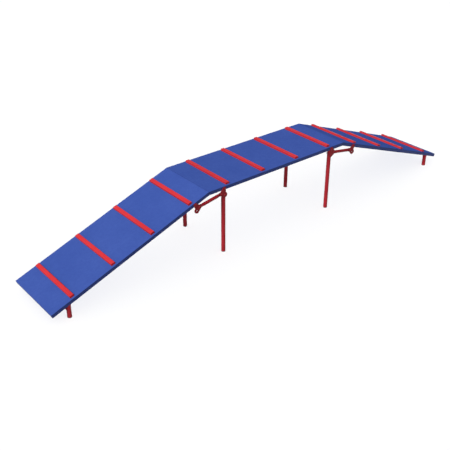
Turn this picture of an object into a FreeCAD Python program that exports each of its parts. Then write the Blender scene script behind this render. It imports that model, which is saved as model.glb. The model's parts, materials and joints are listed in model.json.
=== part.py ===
import FreeCAD, Part
import math
import os

# Dog-park agility walk: two 20 degree ramps and a level centre deck on eight tube legs.
# Millimetres, +X along the walk, front side at -Y, +Z up, origin on the floor under its middle.
# Each bend has its own frame: x runs from the bend along a deck, z is measured off its top face.

# Decks
DECK_WIDTH = 609.6            # 24 in
PANEL_LENGTH = 1625.6         # 64 in along the top face of each of the three decks
DECK_HEIGHT = 650.0           # floor to the top face of the centre deck
RAMP_ANGLE = 20.0             # degrees below level
SHEET = 3.0                   # deck sheet thickness
RAIL = 30.0                   # side rails and ribs are square tube of this size
RAIL_WALL = 2.0
RAIL_CORNER = 3.0             # outer corner radius of the square tube
MITRE_GAP = 1.0               # each deck stops this far short of the plane of the bend

# Cleats
CLEAT_WIDTH = 38.1            # 1.5 in
CLEAT_HEIGHT = 19.0
CLEAT_LENGTH = 572.0
CLEAT_CHAMFER = 2.5
CLEATS_PER_DECK = 4
CLEAT_SHIFT = 12.0            # up the ramps, and towards +X on the centre deck
CLEAT_SCREW_Y = (-210.0, 0.0, 210.0)
CLEAT_SCREW_DEPTH = 12.0
CLEAT_PILOT_SPARE = 1.0

# Legs
LEG_DIAMETER = 38.1           # 1.5 in tube
LEG_WALL = 2.5
SHORT_LEG_SETBACK = 159.0     # ramp tip to the short legs' axis, along the floor
GUSSET_PLATE = 5.0
GUSSET_WIDTH = 22.0
GUSSET_HEIGHT = 36.0
PLUG_FLANGE = 4.0
PLUG_INSERT = 20.0
PLUG_CLEARANCE = 0.05

# Bend brackets: a plate on the rail's side with an arm up the rail, an ear for the strut and
# a round end below. Each round is (setback from the bend, depth below the top face, radius).
BRACKET_PLATE = 6.0
ARM_NEAR_ROUND = (156.5, 12.0, 8.0)
ARM_FAR_ROUND = (169.5, 12.0, 8.0)
EAR = (133.0, 63.0, 18.0)
LOBE = (168.0, 78.0, 25.0)
RAIL_BOLTS = ((156.5, 12.0), (169.5, 26.0))

# Struts: round tube with flattened, drilled ends
STRUT_DIAMETER = 28.6         # 1 1/8 in
STRUT_WALL = 2.0
STRUT_TAB = 5.0
STRUT_TAB_HALF_WIDTH = 17.0
STRUT_TAB_REACH = 20.0
STRUT_TAPER = 30.0
STRUT_SHOULDER = 0.1          # the swell starts this far inside the tab's outline
STRUT_VENT_RADIUS = 2.5

# Folded plates that join two decks under a bend
BEND_PLATE = 5.0
BEND_PLATE_REACH = 88.0
BEND_PLATE_HALF_WIDTH = 262.0
BEND_RIB_SETBACK = 60.0
BEND_BOLT_Y = (-200.0, -70.0, 70.0, 200.0)
BEND_BOLT_TAIL = 10.0

# Fasteners: radii, except heights. A nut's hole and a tapped hole have the shaft's radius.
M6 = {"shaft": 3.0, "hole": 3.3, "head": 5.8, "head_height": 4.0, "washer": 6.2, "nut_height": 5.0,
      "dome": 5.25, "dome_height": 3.3, "socket": 2.3}
M8 = {"shaft": 4.0, "hole": 4.5, "head": 7.5, "head_height": 5.3, "washer": 8.0, "nut_height": 6.5}
M10 = {"shaft": 5.0, "hole": 5.5, "head": 9.8, "washer": 10.5, "nut_height": 8.0,
       "dome": 8.75, "dome_height": 5.5, "socket": 3.5}
WASHER = 1.6
BOLT_TAIL = 3.0               # thread showing past a nut

# Worked out from the dimensions above
ANGLE = math.radians(RAMP_ANGLE)
COS = math.cos(ANGLE)
SIN = math.sin(ANGLE)
MITRE = math.tan(ANGLE / 2)
END_GAP = MITRE_GAP / math.cos(ANGLE / 2)
HALF_PANEL = PANEL_LENGTH / 2
HALF_WIDTH = DECK_WIDTH / 2
DECK_DEPTH = SHEET + RAIL
RIB_HALF_LENGTH = HALF_WIDTH - RAIL
TIP_X = HALF_PANEL + PANEL_LENGTH * COS
LEG_RADIUS = LEG_DIAMETER / 2
LEG_Y = HALF_WIDTH - LEG_RADIUS
TALL_LEG_X = HALF_PANEL - LOBE[0]
SHORT_LEG_X = TIP_X - SHORT_LEG_SETBACK
PLATE_FACE = HALF_WIDTH + BRACKET_PLATE
CLEAT_PITCH = PANEL_LENGTH / CLEATS_PER_DECK
BIG = 3000.0                  # larger than any part that a cutting block trims

V = FreeCAD.Vector
ORIGIN = V(0, 0, 0)
X_AXIS = V(1, 0, 0)
Y_AXIS = V(0, 1, 0)
Z_AXIS = V(0, 0, 1)

os.makedirs("parts", exist_ok=True)


def save(name, shape):
    """Write one node. A list of shapes becomes a group of separate solids."""
    if isinstance(shape, list):
        shape = Part.makeCompound([solid for item in shape for solid in item.Solids])
    if not shape.Solids or not all(solid.isValid() for solid in shape.Solids):
        raise RuntimeError(name + " is not made of valid solids")
    if len(shape.Solids) == 1:
        shape = shape.Solids[0]
    shape.exportStep("parts/" + name + ".step")


# Basic shapes ------------------------------------------------------------------------------

def box(x0, x1, y0, y1, z0, z1):
    return Part.makeBox(x1 - x0, y1 - y0, z1 - z0, V(x0, y0, z0))


def rod(radius, start, end):
    return Part.makeCylinder(radius, (end - start).Length, start, end - start)


def prism(points, y0, y1):
    """A polygon in the XZ plane, swept from y0 to y1."""
    corners = [V(x, y0, z) for x, z in points]
    return Part.Face(Part.makePolygon(corners + corners[:1])).extrude(V(0, y1 - y0, 0))


def hexagon(radius, height, start, direction):
    """A hexagonal prism that stands on start, along direction. The radius is across its corners."""
    side = V(direction.z, direction.x, direction.y)
    other = direction.cross(side)
    corners = []
    for k in range(6):
        turn = math.radians(60 * k)
        corners.append(start + (side * math.cos(turn) + other * math.sin(turn)) * radius)
    return Part.Face(Part.makePolygon(corners + corners[:1])).extrude(direction * height)


# Places --------------------------------------------------------------------------------------

def on_ramp(shape):
    """From the bend frame to the right ramp."""
    placed = shape.copy()
    placed.rotate(ORIGIN, Y_AXIS, RAMP_ANGLE)
    placed.translate(V(HALF_PANEL, 0, DECK_HEIGHT))
    return placed


def on_centre(shape):
    """From the bend frame to the right end of the centre deck."""
    placed = shape.mirror(ORIGIN, X_AXIS)
    placed.translate(V(HALF_PANEL, 0, DECK_HEIGHT))
    return placed


def left(shape):
    return shape.mirror(ORIGIN, X_AXIS)


def four_corners(shape):
    """A part of the right front corner, repeated at all four."""
    back = shape.mirror(ORIGIN, Y_AXIS)
    return {"right_front": shape, "right_back": back, "left_front": left(shape), "left_back": left(back)}


def save_corners(prefix, shape):
    for corner, copy in four_corners(shape).items():
        save(prefix + "_" + corner, copy)


def save_corner_group(name, shapes):
    save(name, [copy for shape in shapes for copy in four_corners(shape).values()])


# Fasteners -----------------------------------------------------------------------------------

def bolt(size, seat, direction, length):
    """Washer, hexagon head and shaft in one. The washer lies on seat and the shaft runs on past it."""
    head_seat = seat - direction * WASHER
    washer = rod(size["washer"], head_seat, seat)
    head = hexagon(size["head"], size["head_height"], head_seat - direction * size["head_height"], direction)
    shaft = rod(size["shaft"], head_seat, seat + direction * length)
    return washer.fuse([head, shaft]).removeSplitter()


def nut(size, seat, direction):
    """Washer and hexagon nut in one, standing off seat along direction."""
    top = seat + direction * (WASHER + size["nut_height"])
    washer = rod(size["washer"], seat, seat + direction * WASHER)
    body = washer.fuse(hexagon(size["head"], size["nut_height"], seat + direction * WASHER, direction))
    return body.cut(rod(size["shaft"], seat, top))


def dome_bolt(size, seat, direction, length):
    """Domed head with a hexagon socket. The head lies on seat and the shaft runs on past it."""
    rise = size["dome_height"]
    ball_radius = (size["dome"] ** 2 + rise ** 2) / (2 * rise)
    top = seat - direction * rise
    dome = Part.makeSphere(ball_radius, top + direction * ball_radius)
    dome = dome.common(rod(2 * ball_radius, top - direction, seat))
    shaft = rod(size["shaft"], seat, seat + direction * length)
    return dome.fuse(shaft).removeSplitter().cut(hexagon(size["socket"], rise / 2, top, direction))


def through_bolt(size, seat, direction, grip):
    """A domed bolt through a grip, and its nut on the far side."""
    length = grip + WASHER + size["nut_height"] + BOLT_TAIL
    return dome_bolt(size, seat, direction, length), nut(size, seat + direction * grip, direction)


# Decks ---------------------------------------------------------------------------------------

def mitre_x(depth):
    """Where a deck's end lies at a depth below its top face, in the bend frame."""
    return END_GAP + depth * MITRE


def ramp_profile(top, bottom):
    end = PANEL_LENGTH
    return [(mitre_x(top), -top), (end, -top), (end, -bottom), (mitre_x(bottom), -bottom)]


def centre_profile(top, bottom):
    """As ramp_profile, with the x of the bend frame running the whole centre deck."""
    near_top = mitre_x(top)
    near_bottom = mitre_x(bottom)
    return [(near_top, -top), (PANEL_LENGTH - near_top, -top),
            (PANEL_LENGTH - near_bottom, -bottom), (near_bottom, -bottom)]


def round_long_edges(tube, direction):
    """Rounds the corners of a square tube that runs along direction."""
    long_edges = [edge for edge in tube.Edges
                  if abs(edge.tangentAt(edge.FirstParameter).dot(direction)) > 0.999]
    return tube.makeFillet(RAIL_CORNER, long_edges)


def rail(profile, closed_end, bolt_places):
    """Square tube along the front edge, with cross holes for the bend brackets' bolts."""
    outer = round_long_edges(prism(profile, -HALF_WIDTH, -HALF_WIDTH + RAIL), X_AXIS)
    inner_end = PANEL_LENGTH - RAIL_WALL if closed_end else BIG
    hollow = box(-BIG, inner_end, -HALF_WIDTH + RAIL_WALL, -HALF_WIDTH + RAIL - RAIL_WALL,
                 -DECK_DEPTH + RAIL_WALL, -SHEET - RAIL_WALL)
    holes = [rod(M6["hole"], V(x, -HALF_WIDTH, -depth), V(x, -HALF_WIDTH + RAIL, -depth))
             for x, depth in bolt_places]
    return outer.cut([hollow] + holes)


def rib(middle, bolted):
    """Square tube across the deck between the rails, tapped from below where a bend plate is bolted."""
    x0 = middle - RAIL / 2
    x1 = middle + RAIL / 2
    tube = round_long_edges(box(x0, x1, -RIB_HALF_LENGTH, RIB_HALF_LENGTH, -DECK_DEPTH, -SHEET), Y_AXIS)
    hollow = box(x0 + RAIL_WALL, x1 - RAIL_WALL, -RIB_HALF_LENGTH, RIB_HALF_LENGTH,
                 -DECK_DEPTH + RAIL_WALL, -SHEET - RAIL_WALL)
    tube = tube.cut(hollow)
    if bolted:
        tube = tube.cut([rod(M8["shaft"], V(middle, y, -DECK_DEPTH), V(middle, y, -DECK_DEPTH + RAIL_WALL))
                         for y in BEND_BOLT_Y])
    return tube


def cleat(middle):
    """Bar across the deck with chamfered top edges and tapped holes from below."""
    half = CLEAT_WIDTH / 2
    edge = CLEAT_CHAMFER
    outline = [(middle - half, 0), (middle + half, 0), (middle + half, CLEAT_HEIGHT - edge),
               (middle + half - edge, CLEAT_HEIGHT), (middle - half + edge, CLEAT_HEIGHT),
               (middle - half, CLEAT_HEIGHT - edge)]
    bar = prism(outline, -CLEAT_LENGTH / 2, CLEAT_LENGTH / 2)
    depth = CLEAT_SCREW_DEPTH + CLEAT_PILOT_SPARE
    return bar.cut([rod(M6["shaft"], V(middle, y, 0), V(middle, y, depth)) for y in CLEAT_SCREW_Y])


def cleat_screws(middle):
    length = SHEET + CLEAT_SCREW_DEPTH
    return [bolt(M6, V(middle, y, -SHEET), Z_AXIS, length) for y in CLEAT_SCREW_Y]


def sheet(profile, cleat_places):
    """Deck sheet with the cleats' screw holes."""
    holes = [rod(M6["hole"], V(x, y, -SHEET), V(x, y, 0)) for x in cleat_places for y in CLEAT_SCREW_Y]
    return prism(profile, -HALF_WIDTH, HALF_WIDTH).cut(holes)


def along(first):
    return [first + CLEAT_PITCH * k for k in range(CLEATS_PER_DECK)]


def rib_places(cleats):
    return [x + CLEAT_PITCH / 2 for x in cleats[:-1]]


far_bolts = tuple((PANEL_LENGTH - x, depth) for x, depth in RAIL_BOLTS)
far_rib = PANEL_LENGTH - BEND_RIB_SETBACK
tip_rib = PANEL_LENGTH - RAIL / 2
ramp_cleats = along(CLEAT_PITCH / 2 - CLEAT_SHIFT)
centre_cleats = along(CLEAT_PITCH / 2 - CLEAT_SHIFT)

ramp_sheet = sheet(ramp_profile(0, SHEET), ramp_cleats)
ramp_rail = rail(ramp_profile(SHEET, DECK_DEPTH), True, RAIL_BOLTS)
centre_sheet = sheet(centre_profile(0, SHEET), centre_cleats)
centre_rail = rail(centre_profile(SHEET, DECK_DEPTH), False, RAIL_BOLTS + far_bolts)
ramp_ribs = [rib(BEND_RIB_SETBACK, True), rib(tip_rib, False)]
ramp_ribs += [rib(x, False) for x in rib_places(ramp_cleats)]
centre_ribs = [rib(BEND_RIB_SETBACK, True), rib(far_rib, True)]
centre_ribs += [rib(x, False) for x in rib_places(centre_cleats)]

save("deck_sheet_centre", on_centre(centre_sheet))
save("deck_sheet_right", on_ramp(ramp_sheet))
save("deck_sheet_left", left(on_ramp(ramp_sheet)))
save("rail_centre_front", on_centre(centre_rail))
save("rail_centre_back", on_centre(centre_rail).mirror(ORIGIN, Y_AXIS))
save_corners("rail", on_ramp(ramp_rail))
save("ribs_centre", [on_centre(tube) for tube in centre_ribs])
save("ribs_right", [on_ramp(tube) for tube in ramp_ribs])
save("ribs_left", [left(on_ramp(tube)) for tube in ramp_ribs])

screws = []
for number, (ramp_x, centre_x) in enumerate(zip(ramp_cleats, centre_cleats), start=1):
    save("cleat_right_%d" % number, on_ramp(cleat(ramp_x)))
    save("cleat_left_%d" % number, left(on_ramp(cleat(ramp_x))))
    save("cleat_centre_%d" % number, on_centre(cleat(centre_x)))
    for screw in cleat_screws(ramp_x):
        screws += [on_ramp(screw), left(on_ramp(screw))]
    screws += [on_centre(screw) for screw in cleat_screws(centre_x)]
save("cleat_screws", screws)


# Bend plates ---------------------------------------------------------------------------------

def bend_plate():
    """Folded plate under the right bend, against the undersides of both decks."""
    top = DECK_DEPTH
    bottom = DECK_DEPTH + BEND_PLATE
    half = prism([(top * MITRE, -top), (BEND_PLATE_REACH, -top),
                  (BEND_PLATE_REACH, -bottom), (bottom * MITRE, -bottom)],
                 -BEND_PLATE_HALF_WIDTH, BEND_PLATE_HALF_WIDTH)
    half = half.cut([rod(M8["hole"], V(BEND_RIB_SETBACK, y, -bottom), V(BEND_RIB_SETBACK, y, -top))
                     for y in BEND_BOLT_Y])
    return on_centre(half).fuse(on_ramp(half)).removeSplitter()


bend_bolts = []
for y in BEND_BOLT_Y:
    fastener = bolt(M8, V(BEND_RIB_SETBACK, y, -DECK_DEPTH - BEND_PLATE), Z_AXIS, BEND_BOLT_TAIL)
    for placed in (on_centre(fastener), on_ramp(fastener)):
        bend_bolts += [placed, left(placed)]
save("bend_plate_right", bend_plate())
save("bend_plate_left", left(bend_plate()))
save("bend_plate_bolts", bend_bolts)


# Bend brackets and struts --------------------------------------------------------------------

def plate_disc(setback, depth, radius):
    return rod(radius, V(setback, -PLATE_FACE, -depth), V(setback, -HALF_WIDTH, -depth))


def web(first, second):
    """Plate between two rounds, out to their common tangent on the right of the way between them."""
    run = V(second[0] - first[0], 0, first[1] - second[1])
    turn = math.atan2(run.z, run.x) - math.acos((first[2] - second[2]) / run.Length)
    corners = [(first[0], -first[1]), (second[0], -second[1])]
    for setback, depth, radius in (second, first):
        corners.append((setback + radius * math.cos(turn), -depth + radius * math.sin(turn)))
    return prism(corners, -PLATE_FACE, -HALF_WIDTH)


def bend_bracket():
    """Plate in the bend frame, on the front rail's outer side."""
    far_x, far_depth, far_radius = ARM_FAR_ROUND
    far_edge = far_x + far_radius
    plate_top = -far_depth + far_radius
    lobe_x, lobe_depth, lobe_radius = LOBE
    neck = -lobe_depth + math.sqrt(lobe_radius ** 2 - (far_edge - lobe_x) ** 2)
    core = prism([(ARM_NEAR_ROUND[0], plate_top), (far_x, plate_top), (far_edge, -far_depth),
                  (far_edge, neck), (lobe_x, -lobe_depth), (EAR[0], -EAR[1]),
                  (ARM_NEAR_ROUND[0], -ARM_NEAR_ROUND[1])], -PLATE_FACE, -HALF_WIDTH)
    pieces = [web(ARM_NEAR_ROUND, EAR), web(EAR, LOBE)]
    pieces += [plate_disc(*item) for item in (ARM_NEAR_ROUND, ARM_FAR_ROUND, EAR, LOBE)]
    body = core.fuse(pieces).removeSplitter()
    holes = [plate_disc(x, depth, M10["hole"]) for x, depth, radius in (EAR, LOBE)]
    holes += [plate_disc(x, depth, M6["hole"]) for x, depth in RAIL_BOLTS]
    return body.cut(holes)


def tab_oval(x):
    """Ellipse across the strut's axis, just inside the flat tab's outline."""
    wide = V(x, 0, STRUT_TAB_HALF_WIDTH - STRUT_SHOULDER)
    thick = V(x, STRUT_TAB / 2 - STRUT_SHOULDER, 0)
    return Part.Wire(Part.Ellipse(wide, thick, V(x, 0, 0)).toShape())


def tube_circle(x):
    """The round tube's outline, starting at the same side as tab_oval so that a loft doesn't twist."""
    circle = Part.Circle(V(x, 0, 0), X_AXIS * -1, STRUT_DIAMETER / 2)
    circle.XAxis = Z_AXIS
    return Part.Wire(circle.toShape())


def strut_end(length):
    """Drilled flat tab around the origin that swells to the round tube along +X."""
    half_tab = STRUT_TAB / 2
    tab = box(0, STRUT_TAB_REACH, -half_tab, half_tab, -STRUT_TAB_HALF_WIDTH, STRUT_TAB_HALF_WIDTH)
    tip = rod(STRUT_TAB_HALF_WIDTH, V(0, -half_tab, 0), V(0, half_tab, 0))
    round_start = STRUT_TAB_REACH + STRUT_TAPER
    swell = Part.makeLoft([tab_oval(STRUT_TAB_REACH), tube_circle(round_start)], True, False)
    hole = rod(M10["hole"], V(0, -half_tab, 0), V(0, half_tab, 0))
    tube = rod(STRUT_DIAMETER / 2, V(round_start, 0, 0), V(length / 2, 0, 0))
    return tab.fuse([tip, swell, tube]).removeSplitter().cut(hole)


def strut():
    """Strut of the right front corner, between the ears of its two brackets."""
    setback, depth, radius = EAR
    centre_end = V(HALF_PANEL - setback, 0, DECK_HEIGHT - depth)
    ramp_end = V(HALF_PANEL + setback * COS - depth * SIN, 0, DECK_HEIGHT - setback * SIN - depth * COS)
    run = ramp_end - centre_end
    half = strut_end(run.Length)
    other = half.mirror(ORIGIN, X_AXIS)
    other.translate(V(run.Length, 0, 0))
    bar = half.fuse(other).removeSplitter()
    hollow_start = STRUT_TAB_REACH + STRUT_TAPER
    bore = rod(STRUT_DIAMETER / 2 - STRUT_WALL, V(hollow_start, 0, 0), V(run.Length - hollow_start, 0, 0))
    vent = rod(STRUT_VENT_RADIUS, V(run.Length / 2, 0, -STRUT_DIAMETER), V(run.Length / 2, 0, 0))
    bar = bar.cut([bore, vent])
    bar.rotate(ORIGIN, Y_AXIS, -math.degrees(math.atan2(run.z, run.x)))
    bar.translate(V(centre_end.x, -HALF_WIDTH + STRUT_TAB / 2, centre_end.z))
    return bar


bracket = bend_bracket()
save_corners("leg_bracket", on_centre(bracket))
save_corners("ramp_bracket", on_ramp(bracket))
save_corners("strut", strut())


def on_plate(place):
    """A bolt's seat on the bracket's face."""
    return V(place[0], -PLATE_FACE, -place[1])


rail_bolts = []
rail_nuts = []
for place in RAIL_BOLTS:
    fastener, its_nut = through_bolt(M6, on_plate(place), Y_AXIS, BRACKET_PLATE + RAIL)
    rail_bolts += [on_centre(fastener), on_ramp(fastener)]
    rail_nuts += [on_centre(its_nut), on_ramp(its_nut)]
strut_bolt, strut_nut = through_bolt(M10, on_plate(EAR), Y_AXIS, BRACKET_PLATE + STRUT_TAB)
leg_bolt, leg_nut = through_bolt(M10, on_plate(LOBE), Y_AXIS, BRACKET_PLATE + LEG_DIAMETER)
save_corner_group("rail_bolts", rail_bolts)
save_corner_group("rail_nuts", rail_nuts)
save_corner_group("strut_bolts", [on_centre(strut_bolt), on_ramp(strut_bolt)])
save_corner_group("leg_bolts", [on_centre(leg_bolt)])
save_corner_group("strut_and_leg_nuts", [on_centre(strut_nut), on_ramp(strut_nut), on_centre(leg_nut)])


# Legs ----------------------------------------------------------------------------------------

def leg_tube(x, top):
    start = V(x, -LEG_Y, PLUG_FLANGE)
    end = V(x, -LEG_Y, top)
    return rod(LEG_RADIUS, start, end).cut(rod(LEG_RADIUS - LEG_WALL, start, end))


def ramp_underside(x):
    """Height of the right ramp's underside above the floor."""
    return DECK_HEIGHT - (x - HALF_PANEL) * math.tan(ANGLE) - DECK_DEPTH / COS


def short_leg():
    """Tube whose top is cut to the slope of the ramp's underside."""
    high = ramp_underside(SHORT_LEG_X - LEG_DIAMETER)
    above = on_ramp(box(-BIG, BIG, -BIG, BIG, -DECK_DEPTH, BIG))
    return leg_tube(SHORT_LEG_X, high).cut(above)


def short_leg_gusset():
    """Triangular plate between a short leg and the rail, on the side of the ramp's tip."""
    inner = SHORT_LEG_X
    outer = SHORT_LEG_X + LEG_RADIUS + GUSSET_WIDTH
    foot = ramp_underside(SHORT_LEG_X + LEG_RADIUS) - GUSSET_HEIGHT
    plate = prism([(inner, ramp_underside(inner)), (outer, ramp_underside(outer)),
                   (SHORT_LEG_X + LEG_RADIUS, foot), (inner, foot)],
                  -LEG_Y - GUSSET_PLATE / 2, -LEG_Y + GUSSET_PLATE / 2)
    return plate.cut(rod(LEG_RADIUS, V(SHORT_LEG_X, -LEG_Y, 0), V(SHORT_LEG_X, -LEG_Y, DECK_HEIGHT)))


def foot_plug(x):
    """Plastic end plug: a flange that the leg stands on and an insert inside the tube."""
    flange_top = V(x, -LEG_Y, PLUG_FLANGE)
    flange = rod(LEG_RADIUS, V(x, -LEG_Y, 0), flange_top)
    insert = rod(LEG_RADIUS - LEG_WALL - PLUG_CLEARANCE, flange_top, flange_top + Z_AXIS * PLUG_INSERT)
    return flange.fuse(insert).removeSplitter()


leg_bolt_hole = on_centre(rod(M10["hole"], V(LOBE[0], -HALF_WIDTH, -LOBE[1]),
                              V(LOBE[0], -HALF_WIDTH + LEG_DIAMETER, -LOBE[1])))
tall_leg = leg_tube(TALL_LEG_X, DECK_HEIGHT - DECK_DEPTH).cut(leg_bolt_hole)
save_corners("tall_leg", tall_leg)
save_corners("short_leg", short_leg())
save_corners("short_leg_gusset", short_leg_gusset())
save_corner_group("tall_leg_plugs", [foot_plug(TALL_LEG_X)])
save_corner_group("short_leg_plugs", [foot_plug(SHORT_LEG_X)])
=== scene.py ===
import json
import math

import bmesh
import bpy
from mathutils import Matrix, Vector


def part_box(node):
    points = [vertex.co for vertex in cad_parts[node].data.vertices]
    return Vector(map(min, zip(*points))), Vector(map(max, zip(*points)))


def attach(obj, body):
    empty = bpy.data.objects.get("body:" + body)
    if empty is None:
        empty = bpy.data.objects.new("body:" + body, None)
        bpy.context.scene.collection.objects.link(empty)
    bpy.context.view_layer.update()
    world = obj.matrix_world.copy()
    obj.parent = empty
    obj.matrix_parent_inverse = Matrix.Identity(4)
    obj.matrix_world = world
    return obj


# Looks of a dog-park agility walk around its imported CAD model. Metres, +X along the walk,
# front side at -Y, +Z up, origin on the floor under the middle of the walk.

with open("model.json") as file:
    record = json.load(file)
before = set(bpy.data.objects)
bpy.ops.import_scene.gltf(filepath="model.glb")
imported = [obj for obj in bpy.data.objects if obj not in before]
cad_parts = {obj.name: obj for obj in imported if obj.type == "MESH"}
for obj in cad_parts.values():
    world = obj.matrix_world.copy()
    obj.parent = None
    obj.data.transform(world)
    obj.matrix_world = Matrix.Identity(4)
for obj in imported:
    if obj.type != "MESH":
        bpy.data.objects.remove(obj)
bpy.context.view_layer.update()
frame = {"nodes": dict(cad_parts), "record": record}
nodes = frame["nodes"]
SLOT_OF = {part["node"]: part["material_slot"] for part in frame["record"]["subparts"]}

SIDES = (-1, 1)
MM = 0.001


# Material nodes -------------------------------------------------------------------------------

class Surface:
    """A procedural material: one Principled shader and the nodes that feed it."""

    def __init__(self, name):
        self.material = bpy.data.materials.new(name)
        self.material.use_nodes = True
        self.tree = self.material.node_tree
        self.shader = self.tree.nodes["Principled BSDF"]
        self.position = self.tree.nodes.new("ShaderNodeTexCoord").outputs["Object"]

    def add(self, kind, inputs=None, **settings):
        """A new node, its inputs fed from values or from other nodes' outputs."""
        made = self.tree.nodes.new(kind)
        for key, value in settings.items():
            setattr(made, key, value)
        for socket, value in (inputs or {}).items():
            self.feed(made.inputs[socket], value)
        return made

    def feed(self, socket, value):
        if isinstance(value, bpy.types.NodeSocket):
            self.tree.links.new(value, socket)
        else:
            socket.default_value = value

    def noise(self, scale, detail, rough, stretch=(1, 1, 1), shift=(0, 0, 0)):
        """Noise of about scale features per metre, drawn out along an axis by a small stretch."""
        place = self.add("ShaderNodeMapping", {"Vector": self.position, "Location": shift,
                                               "Scale": stretch})
        made = self.add("ShaderNodeTexNoise", {"Vector": place.outputs[0], "Scale": scale,
                                               "Detail": detail, "Roughness": rough})
        return made.outputs["Fac"]

    def grains(self, scale):
        """Distance to the nearest grain's middle, 0 at the middle."""
        made = self.add("ShaderNodeTexVoronoi", {"Vector": self.position, "Scale": scale,
                                                 "Randomness": 1.0}, feature="SMOOTH_F1")
        return made.outputs["Distance"]

    def remap(self, value, low, high, new_low=0.0, new_high=1.0):
        """The range from low to high stretched to the new one, and held there beyond it."""
        made = self.add("ShaderNodeMapRange", {"Value": value, "From Min": low, "From Max": high,
                                               "To Min": new_low, "To Max": new_high})
        return made.outputs[0]

    def math(self, operation, a, b=0.0):
        return self.add("ShaderNodeMath", {0: a, 1: b}, operation=operation).outputs[0]

    def mix(self, share, a, b):
        """Colour a at share 0 and colour b at share 1."""
        made = self.add("ShaderNodeMix", {"Factor": share, "A": a, "B": b}, data_type="RGBA")
        return made.outputs["Result"]

    def edges(self, radius):
        """0 on open faces, rising at edges that are sharper than the radius."""
        rounded = self.add("ShaderNodeBevel", {"Radius": radius}, samples=4).outputs[0]
        flat = self.add("ShaderNodeNewGeometry").outputs["Normal"]
        dot = self.add("ShaderNodeVectorMath", {0: rounded, 1: flat}, operation="DOT_PRODUCT")
        return self.math("SUBTRACT", 1.0, dot.outputs["Value"])

    def edge_shade(self, reach, patches):
        """Painted shade: how much darker a colour turns along edges and in corners, up to a reach in
        metres from them.
        """
        near_edges = self.remap(self.edges(reach), 0.01, 0.16)
        return self.math("MULTIPLY", near_edges, self.remap(patches, 0.3, 0.6, 0.55, 0.9))

    def bump(self, height, depth, under=None):
        """A relief with a full height of depth metres, laid over the relief under, if there is one."""
        made = self.add("ShaderNodeBump", {"Height": height, "Distance": depth, "Strength": 1.0})
        if under:
            self.feed(made.inputs["Normal"], under)
        return made.outputs[0]

    def finish(self, colour, roughness, normal, **constants):
        """Feeds the shader. A constant is named after its socket, with _ for a space."""
        self.feed(self.shader.inputs["Base Color"], colour)
        self.feed(self.shader.inputs["Roughness"], roughness)
        self.feed(self.shader.inputs["Normal"], normal)
        for name, value in constants.items():
            self.shader.inputs[name.replace("_", " ")].default_value = value
        return self.material


def rgb(red, green, blue):
    """A linear colour, opaque."""
    return (red, green, blue, 1.0)


# Materials ------------------------------------------------------------------------------------

def deck_coating():
    """Blue non-slip coating with fine grit, slightly mottled, with painted shade along its edges."""
    s = Surface("deck_coating")
    cloud = s.noise(3.2, detail=5.0, rough=0.6)
    mottle = s.noise(38.0, detail=4.0, rough=0.65)
    grit = s.grains(620.0)
    speck = s.noise(900.0, detail=2.0, rough=0.6)
    deep, pale = rgb(0.036, 0.071, 0.275), rgb(0.043, 0.081, 0.298)
    stain, glint, shade_colour = rgb(0.030, 0.056, 0.235), rgb(0.060, 0.105, 0.370), rgb(0.024, 0.044, 0.190)
    base = s.mix(s.remap(cloud, 0.35, 0.65), deep, pale)
    base = s.mix(s.remap(mottle, 0.3, 0.7, 0.0, 0.5), base, stain)
    base = s.mix(s.remap(speck, 0.45, 0.7, 0.0, 0.25), base, glint)
    # Painted shade: darker along edges and in corners.
    base = s.mix(s.edge_shade(2.5 * MM, mottle), base, shade_colour)
    roughness = s.remap(mottle, 0.3, 0.7, 0.58, 0.74)
    waves = s.bump(s.noise(6.0, detail=2.0, rough=0.4), depth=1.2 * MM)
    grained = s.bump(s.math("SUBTRACT", 1.0, grit), depth=0.6 * MM, under=waves)
    return s.finish(base, roughness, grained, Specular_IOR_Level=0.0)


def frame_coating():
    """Blue satin powder coat with a faint orange peel, painted darker than the deck's blue for the shade
    on the rails' side faces, and with painted shade along its edges.
    """
    s = Surface("frame_coating")
    cloud = s.noise(9.0, detail=4.0, rough=0.6)
    peel = s.noise(420.0, detail=2.0, rough=0.5)
    # Both blues are darker than the deck's: painted shade for the rails' side faces. The third colour is
    # painted shade along edges.
    deep, pale, shade_colour = rgb(0.018, 0.034, 0.155), rgb(0.023, 0.042, 0.182), rgb(0.006, 0.010, 0.060)
    base = s.mix(s.remap(cloud, 0.35, 0.65), deep, pale)
    base = s.mix(s.edge_shade(7 * MM, cloud), base, shade_colour)
    roughness = s.remap(cloud, 0.3, 0.7, 0.32, 0.46)
    return s.finish(base, roughness, s.bump(peel, depth=0.12 * MM), Specular_IOR_Level=0.12)


def cleat_plastic():
    """Red board of solid plastic, its grain drawn out along Y, the length of every cleat."""
    s = Surface("cleat_plastic")
    grain = s.noise(240.0, detail=5.0, rough=0.6, stretch=(1, 0.05, 1))
    tone = s.noise(5.0, detail=3.0, rough=0.5)
    scuff = s.noise(70.0, detail=5.0, rough=0.7, shift=(3.1, 1.7, 0.4))
    deep, pale = rgb(0.46, 0.021, 0.027), rgb(0.53, 0.027, 0.034)
    streak, shade_colour = rgb(0.38, 0.015, 0.020), rgb(0.12, 0.004, 0.020)
    base = s.mix(s.remap(tone, 0.35, 0.65), deep, pale)
    base = s.mix(s.remap(grain, 0.35, 0.65, 0.0, 0.35), base, streak)
    # Painted shade along the cleats' edges and in their corners.
    base = s.mix(s.edge_shade(4 * MM, scuff), base, shade_colour)
    roughness = s.remap(scuff, 0.3, 0.7, 0.42, 0.6)
    lines = s.bump(grain, depth=0.25 * MM)
    return s.finish(base, roughness, s.bump(scuff, depth=0.2 * MM, under=lines), Specular_IOR_Level=0.15)


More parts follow.
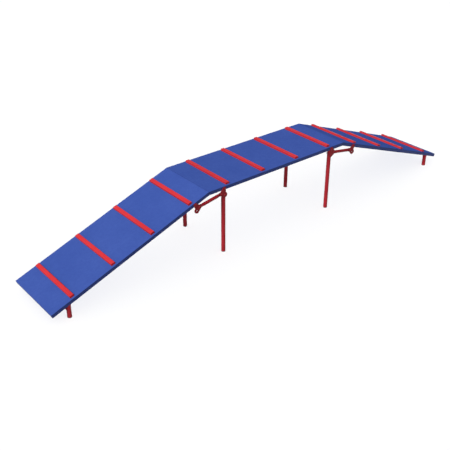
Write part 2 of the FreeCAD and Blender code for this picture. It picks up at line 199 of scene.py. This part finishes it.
def red_coating(name, deep, pale):
    """Red satin powder coat on steel, clouded between two tones, with painted shade along its edges."""
    s = Surface(name)
    cloud = s.noise(14.0, detail=4.0, rough=0.6)
    peel = s.noise(380.0, detail=2.0, rough=0.5)
    base = s.mix(s.remap(cloud, 0.35, 0.65), deep, pale)
    # Painted shade along edges and in corners.
    base = s.mix(s.edge_shade(5 * MM, cloud), base, rgb(0.060, 0.001, 0.004))
    roughness = s.remap(cloud, 0.3, 0.7, 0.34, 0.48)
    return s.finish(base, roughness, s.bump(peel, depth=0.12 * MM), Specular_IOR_Level=0.12,
                    Coat_Weight=0.02, Coat_Roughness=0.2)


def bolt_coating():
    """Dark red coating on the domed bolts, darkened with painted shade to match the brackets, worn thin
    at the edges of their heads and sockets.
    """
    s = Surface("bolt_coating")
    cloud = s.noise(190.0, detail=4.0, rough=0.6)
    # The two reds are a red coat darkened with the brackets' painted shade.
    deep, pale, worn = rgb(0.22, 0.008, 0.014), rgb(0.27, 0.012, 0.019), rgb(0.42, 0.16, 0.16)
    base = s.mix(s.remap(cloud, 0.35, 0.65), deep, pale)
    at_edges = s.remap(s.edges(0.6 * MM), 0.05, 0.35)
    wear = s.math("MULTIPLY", at_edges, s.remap(cloud, 0.45, 0.6, 0.0, 0.5))
    base = s.mix(wear, base, worn)
    roughness = s.remap(cloud, 0.3, 0.7, 0.3, 0.45)
    return s.finish(base, roughness, s.bump(cloud, depth=0.05 * MM), Specular_IOR_Level=0.2)


def zinc_fasteners():
    """Zinc-plated steel, blotched by weather."""
    s = Surface("zinc_fasteners")
    blotch = s.noise(160.0, detail=4.0, rough=0.65)
    turned = s.noise(900.0, detail=2.0, rough=0.5, stretch=(1, 0.15, 1))
    dull, bright = rgb(0.50, 0.51, 0.52), rgb(0.66, 0.67, 0.67)
    base = s.mix(s.remap(blotch, 0.35, 0.65), dull, bright)
    roughness = s.remap(blotch, 0.3, 0.7, 0.3, 0.5)
    return s.finish(base, roughness, s.bump(turned, depth=0.05 * MM), Metallic=1.0)


def plug_plastic():
    """Black moulded end plugs, scuffed grey in places."""
    s = Surface("plug_plastic")
    scuff = s.noise(220.0, detail=5.0, rough=0.7)
    black, grey = rgb(0.012, 0.012, 0.013), rgb(0.045, 0.044, 0.042)
    base = s.mix(s.remap(scuff, 0.45, 0.7), black, grey)
    roughness = s.remap(scuff, 0.3, 0.7, 0.5, 0.72)
    return s.finish(base, roughness, s.bump(scuff, depth=0.2 * MM), Specular_IOR_Level=0.4)


LEG_REDS = (rgb(0.31, 0.011, 0.018), rgb(0.36, 0.016, 0.026))
FINISHES = {"deck_coating": deck_coating(), "frame_coating": frame_coating(),
            "cleat_plastic": cleat_plastic(), "leg_coating": red_coating("leg_coating", *LEG_REDS),
            "bolt_coating": bolt_coating(), "zinc_fasteners": zinc_fasteners(),
            "plug_plastic": plug_plastic()}

# The brackets and struts get a darker copy of the legs' red coat: painted shade for their faces, which
# turn away from the light.
SHADED_BRACKET_REDS = (rgb(0.205, 0.006, 0.011), rgb(0.24, 0.009, 0.015))
SHADED_BRACKET_FINISH = red_coating("bracket_coating_painted_shade", *SHADED_BRACKET_REDS)
BRACKET_NODES = ("leg_bracket_", "ramp_bracket_", "strut_left_", "strut_right_")


# CAD nodes: finish and softened edges ---------------------------------------------------------

EDGE_SOFTENING = {"deck_coating": 0.8 * MM, "frame_coating": 0.8 * MM, "cleat_plastic": 0.8 * MM,
                  "leg_coating": 0.6 * MM, "bolt_coating": 0.2 * MM, "zinc_fasteners": 0.3 * MM,
                  "plug_plastic": 0.8 * MM}
MERGE = 0.005 * MM            # corners closer than this are one
FLAT = math.radians(0.3)      # faces that meet at less than this are one flat
SHARP = math.radians(35)      # edges that turn more than this are softened
EDGE_STEPS = 2


def soften_edges(piece, width):
    """Rounds the sharp edges of a CAD mesh, whose faces meet without sharing corners."""
    merge = piece.modifiers.new("merge", "WELD")
    merge.merge_threshold = MERGE
    flats = piece.modifiers.new("whole_flats", "DECIMATE")
    flats.decimate_type = "DISSOLVE"
    flats.angle_limit = FLAT
    bevel = piece.modifiers.new("soft_edges", "BEVEL")
    bevel.width = width
    bevel.segments = EDGE_STEPS
    bevel.limit_method = "ANGLE"
    bevel.angle_limit = SHARP
    shade = piece.modifiers.new("even_shading", "WEIGHTED_NORMAL")
    shade.weight = 100


for name, node in nodes.items():
    slot = SLOT_OF[name]
    node.data.materials.clear()
    # Brackets and struts take the legs' coat darkened with painted shade.
    node.data.materials.append(SHADED_BRACKET_FINISH if name.startswith(BRACKET_NODES) else FINISHES[slot])
    soften_edges(node, EDGE_SOFTENING[slot])


# Weld beads -----------------------------------------------------------------------------------

BEAD_STEP = 1.1 * MM
BEAD_PITCH = 3.6 * MM         # from one ripple to the next
BEAD_RIPPLE = 0.13            # share of the radius
BEAD_WANDER = 0.06            # share of the radius
WANDER_TURNS = 190            # radians per metre run
WANDER_SHIFT = 40             # radians per metre of X, so that beads in a row differ
BEAD_SIDES = 8
BEAD_TAPER = 2.5 * MM         # each end narrows over this length
BEAD_END = 0.35               # share of the radius left at an end
BEAD_CORNER = 4 * MM          # how far before a corner the bead starts to turn
CORNER_STEPS = 5
FEWEST_STEPS = 4
FILLET_RADIUS = 2.7 * MM
GUSSET_BEAD_RADIUS = 0.8 * FILLET_RADIUS
FILLET_INSET = 0.9 * MM       # the bead's middle stands this far off both faces
LEG_RING_STEPS = 32
STITCH_LENGTH = 42 * MM
STITCHES_PER_BAY = 2


class Deck:
    """A deck's own axes: u along its top face away from an origin, y across, w up off the top face."""

    def __init__(self, name, origin, along, up):
        self.name = name
        self.origin = origin
        self.along = along
        self.up = up

    def point(self, u, y, w):
        return self.origin + self.along * u + Vector((0, y, 0)) + self.up * w

    def u_of(self, point):
        return (point - self.origin).dot(self.along)


def find_decks():
    """The three decks, from the corners of the deck sheets."""
    ramp = [v.co for v in nodes["deck_sheet_right"].data.vertices]
    near = max(ramp, key=lambda p: p.z)
    tip = max(ramp, key=lambda p: p.x)
    slope = math.atan2(near.z - tip.z, tip.x - near.x)
    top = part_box("deck_sheet_centre")[1].z
    bend_x = near.x - (top - near.z) / math.tan(slope)
    made = [Deck("centre", Vector((0, 0, top)), Vector((1, 0, 0)), Vector((0, 0, 1)))]
    for side, name in zip(SIDES, ("left", "right")):
        made.append(Deck(name, Vector((side * bend_x, 0, top)),
                         Vector((side * math.cos(slope), 0, -math.sin(slope))),
                         Vector((side * math.sin(slope), 0, math.cos(slope)))))
    return {deck.name: deck for deck in made}


DECKS = find_decks()
TOP = DECKS["centre"].origin.z
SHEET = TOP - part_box("deck_sheet_centre")[0].z      # thickness of a deck sheet
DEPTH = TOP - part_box("rail_centre_front")[0].z      # sheet and rail together
RAIL_INNER = -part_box("rail_centre_front")[1].y      # from the middle to a rail's inner face


def rounded(corners, radius):
    """A path through the corners, each inner one replaced by a short curve."""
    path = [corners[0]]
    for before, corner, after in zip(corners, corners[1:], corners[2:]):
        start = corner + (before - corner).normalized() * radius
        end = corner + (after - corner).normalized() * radius
        for k in range(CORNER_STEPS + 1):
            t = k / CORNER_STEPS
            path.append(start.lerp(corner, t).lerp(corner.lerp(end, t), t))
    return path + [corners[-1]]


def resampled(path, step):
    """Points a step apart along the path, with the length run at each."""
    places = [0.0]
    for a, b in zip(path, path[1:]):
        places.append(places[-1] + (b - a).length)
    count = max(FEWEST_STEPS, round(places[-1] / step))
    made = []
    segment = 0
    for k in range(count + 1):
        run = places[-1] * k / count
        while segment < len(path) - 2 and run > places[segment + 1]:
            segment += 1
        share = (run - places[segment]) / (places[segment + 1] - places[segment])
        made.append((path[segment].lerp(path[segment + 1], share), run))
    return made


def add_bead(mesh, path, radius):
    """A rippled bead with tapered ends, along the path."""
    points = resampled(path, BEAD_STEP)
    length = points[-1][1]
    rings = []
    side = None
    for k, (point, run) in enumerate(points):
        ahead = points[min(k + 1, len(points) - 1)][0] - points[max(k - 1, 0)][0]
        ahead.normalize()
        if side is None:
            side = ahead.orthogonal()
        side = (side - ahead * side.dot(ahead)).normalized()
        other = ahead.cross(side)
        ripple = 1 + BEAD_RIPPLE * math.cos(math.tau * run / BEAD_PITCH)
        wander = 1 + BEAD_WANDER * math.sin(run * WANDER_TURNS + point.x * WANDER_SHIFT)
        taper = min(1.0, BEAD_END + (1 - BEAD_END) * min(run, length - run) / BEAD_TAPER)
        size = radius * ripple * wander * taper
        ring = []
        for j in range(BEAD_SIDES):
            turn = math.tau * j / BEAD_SIDES
            ring.append(mesh.verts.new(point + (side * math.cos(turn) + other * math.sin(turn)) * size))
        rings.append(ring)
    for first, second in zip(rings, rings[1:]):
        for j in range(BEAD_SIDES):
            k = (j + 1) % BEAD_SIDES
            mesh.faces.new((first[j], first[k], second[k], second[j]))
    mesh.faces.new(rings[0][::-1])
    mesh.faces.new(rings[-1])


def make_piece(name, mesh, slot):
    """Turns a finished bmesh into a smooth piece of the object."""
    for face in mesh.faces:
        face.smooth = True
    data = bpy.data.meshes.new(name)
    mesh.to_mesh(data)
    mesh.free()
    data.materials.append(FINISHES[slot])
    piece = bpy.data.objects.new(name, data)
    bpy.context.scene.collection.objects.link(piece)
    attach(piece, "root")


def rib_spans(deck):
    """Where each rib of the deck starts and ends along it."""
    places = sorted(deck.u_of(v.co) for v in nodes["ribs_" + deck.name].data.vertices)
    breaks = [k for k in range(1, len(places)) if places[k] - places[k - 1] > DEPTH]
    starts = [places[0]] + [places[k] for k in breaks]
    ends = [places[k - 1] for k in breaks] + [places[-1]]
    return list(zip(starts, ends))


def rib_welds(deck):
    """Fillets round both ends of each rib. The rib at a ramp's tip is flush there, so its fillets
    stop short of the tip."""
    mesh = bmesh.new()
    spans = rib_spans(deck)
    for start, end in spans:
        at_tip = deck.name != "centre" and end == spans[-1][1]
        for side in SIDES:
            y = side * (RAIL_INNER - FILLET_INSET)
            top = -SHEET - 2 * FILLET_INSET
            before = start - FILLET_INSET
            after = end + FILLET_INSET
            corners = [deck.point(before, y, top), deck.point(before, y, -DEPTH)]
            if at_tip:
                corners.append(deck.point(end - BEAD_TAPER, y, -DEPTH))
            else:
                corners += [deck.point(after, y, -DEPTH), deck.point(after, y, top)]
            add_bead(mesh, rounded(corners, BEAD_CORNER), FILLET_RADIUS)
    make_piece("rib_welds_" + deck.name, mesh, "frame_coating")


def sheet_welds(deck):
    """Stitches between the deck sheet and the side rails, spaced out in each bay between ribs."""
    mesh = bmesh.new()
    spans = rib_spans(deck)
    w = -SHEET - FILLET_INSET
    for (_, bay_start), (bay_end, _) in zip(spans, spans[1:]):
        for k in range(STITCHES_PER_BAY):
            middle = bay_start + (bay_end - bay_start) * (k + 0.5) / STITCHES_PER_BAY
            for side in SIDES:
                y = side * (RAIL_INNER - FILLET_INSET)
                ends = [deck.point(middle + sign * STITCH_LENGTH / 2, y, w) for sign in SIDES]
                add_bead(mesh, ends, FILLET_RADIUS)
    make_piece("sheet_welds_" + deck.name, mesh, "frame_coating")


def short_leg_welds(corner):
    """A bead round the leg's top, and one along each side of its gusset."""
    mesh = bmesh.new()
    leg_low, leg_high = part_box("short_leg_" + corner)
    gusset_low, gusset_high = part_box("short_leg_gusset_" + corner)
    deck = DECKS[corner.split("_")[0]]
    radius = (leg_high.x - leg_low.x) / 2
    middle = (leg_low + leg_high) / 2
    outward = math.copysign(1, middle.x)
    front = math.copysign(1, middle.y)

    def underside(x, y):
        """The point of the deck's underside above x, y on the floor."""
        w = deck.up.dot(Vector((x, y, 0)) - deck.origin)
        return Vector((x, y, (-DEPTH - w) / deck.up.z))

    reach = math.asin((abs(middle.y) - RAIL_INNER) / radius)
    ring = []
    for k in range(LEG_RING_STEPS + 1):
        turn = -reach + (math.pi + 2 * reach) * k / LEG_RING_STEPS
        ring.append(underside(middle.x + (radius + FILLET_INSET) * math.cos(turn),
                              middle.y + front * (radius + FILLET_INSET) * math.sin(turn)))
    add_bead(mesh, ring, FILLET_RADIUS)
    near = middle.x + outward * (radius + FILLET_INSET)
    far = gusset_high.x if outward > 0 else gusset_low.x
    for y in (gusset_low.y - FILLET_INSET / 2, gusset_high.y + FILLET_INSET / 2):
        corner_point = underside(near, y)
        foot = Vector((near, y, gusset_low.z + FILLET_RADIUS))
        path = rounded([foot, corner_point, underside(far, y)], BEAD_CORNER)
        add_bead(mesh, path, GUSSET_BEAD_RADIUS)
    make_piece("short_leg_welds_" + corner, mesh, "leg_coating")


for deck in DECKS.values():
    rib_welds(deck)
    sheet_welds(deck)
for corner in ("left_front", "left_back", "right_front", "right_back"):
    short_leg_welds(corner)


# Stage: floor, light and camera ---------------------------------------------------------------

FLOOR_HALF = 200.0
FLOOR_GREY = 0.81
CAMERA_PLACE = (-4.1790, -4.6506, 3.5006)
CAMERA_PITCH = 29.954         # degrees below level
CAMERA_TURN = 39.149          # degrees from +Y towards +X
CAMERA_LENS = 59.43           # mm, on a sensor of CAMERA_SENSOR
CAMERA_SENSOR = 36.0
KEY_DIRECTION = (-0.62, -0.10, 0.78)     # from the object towards the light
KEY_STRENGTH = 4.1
KEY_ANGLE = 14                # degrees across
FLOOR_KEY_STRENGTH = 3.95
# Height and brightness along the sky. A height of 0 is straight down, 0.5 level, 1 straight up.
SKY_STOPS = ((0.44, 0.45), (0.48, 1.0), (0.525, 1.0), (0.70, 0.28))


def floor():
    """A plain pale floor. Diffuse light from below is the lower half of the sky's instead."""
    mesh = bpy.data.meshes.new("floor")
    corners = [(-FLOOR_HALF, -FLOOR_HALF, 0), (FLOOR_HALF, -FLOOR_HALF, 0),
               (FLOOR_HALF, FLOOR_HALF, 0), (-FLOOR_HALF, FLOOR_HALF, 0)]
    mesh.from_pydata(corners, [], [(0, 1, 2, 3)])
    plane = bpy.data.objects.new("floor", mesh)
    bpy.context.scene.collection.objects.link(plane)
    paint = bpy.data.materials.new("floor_paint")
    paint.use_nodes = True
    shader = paint.node_tree.nodes["Principled BSDF"]
    shader.inputs["Base Color"].default_value = rgb(FLOOR_GREY, FLOOR_GREY, FLOOR_GREY)
    shader.inputs["Roughness"].default_value = 0.9
    shader.inputs["Specular IOR Level"].default_value = 0.1
    mesh.materials.append(paint)
    plane.visible_diffuse = False
    return plane


def key_light(name, strength):
    """A broad light from high up on the left."""
    light = bpy.data.lights.new(name, "SUN")
    light.energy = strength
    light.angle = math.radians(KEY_ANGLE)
    lamp = bpy.data.objects.new(name, light)
    lamp.rotation_euler = Vector(KEY_DIRECTION).to_track_quat("Z", "Y").to_euler()
    bpy.context.scene.collection.objects.link(lamp)
    return lamp


def share_light(lamp, piece, state):
    """Keeps the lamp's light off the piece (EXCLUDE), or on it alone (INCLUDE)."""
    group = bpy.data.collections.new(lamp.name + "_receivers")
    group.objects.link(piece)
    group.collection_objects[0].light_linking.link_state = state
    lamp.light_linking.receiver_collection = group


def sky():
    """White light from all round, strongest in a band at the horizon, which is also the backdrop."""
    world = bpy.data.worlds.new("studio")
    world.use_nodes = True
    tree = world.node_tree
    height = tree.nodes.new("ShaderNodeSeparateXYZ")
    tree.links.new(tree.nodes.new("ShaderNodeTexCoord").outputs["Generated"], height.inputs[0])
    share = tree.nodes.new("ShaderNodeMapRange")
    share.inputs["From Min"].default_value = -1.0
    tree.links.new(height.outputs["Z"], share.inputs["Value"])
    ramp = tree.nodes.new("ShaderNodeValToRGB")
    ramp.color_ramp.interpolation = "EASE"
    stops = ramp.color_ramp.elements
    while len(stops) < len(SKY_STOPS):
        stops.new(1.0)
    for stop, (place, level) in zip(stops, SKY_STOPS):
        stop.position = place
        stop.color = rgb(level, level, level)
    tree.links.new(share.outputs[0], ramp.inputs[0])
    tree.links.new(ramp.outputs["Color"], tree.nodes["Background"].inputs["Color"])
    bpy.context.scene.world = world


def camera():
    """Looks down on the front of the walk from its left end."""
    lens = bpy.data.cameras.new("camera")
    lens.lens = CAMERA_LENS
    lens.sensor_width = CAMERA_SENSOR
    view = bpy.data.objects.new("camera", lens)
    view.location = CAMERA_PLACE
    view.rotation_euler = (math.radians(90 - CAMERA_PITCH), 0, math.radians(-CAMERA_TURN))
    bpy.context.scene.collection.objects.link(view)
    bpy.context.scene.camera = view


ground = floor()
share_light(key_light("key", KEY_STRENGTH), ground, "EXCLUDE")
floor_key = key_light("floor_key", FLOOR_KEY_STRENGTH)
floor_key.data.use_shadow = False
share_light(floor_key, ground, "INCLUDE")
sky()
camera()
bpy.context.scene.view_settings.view_transform = "Standard"
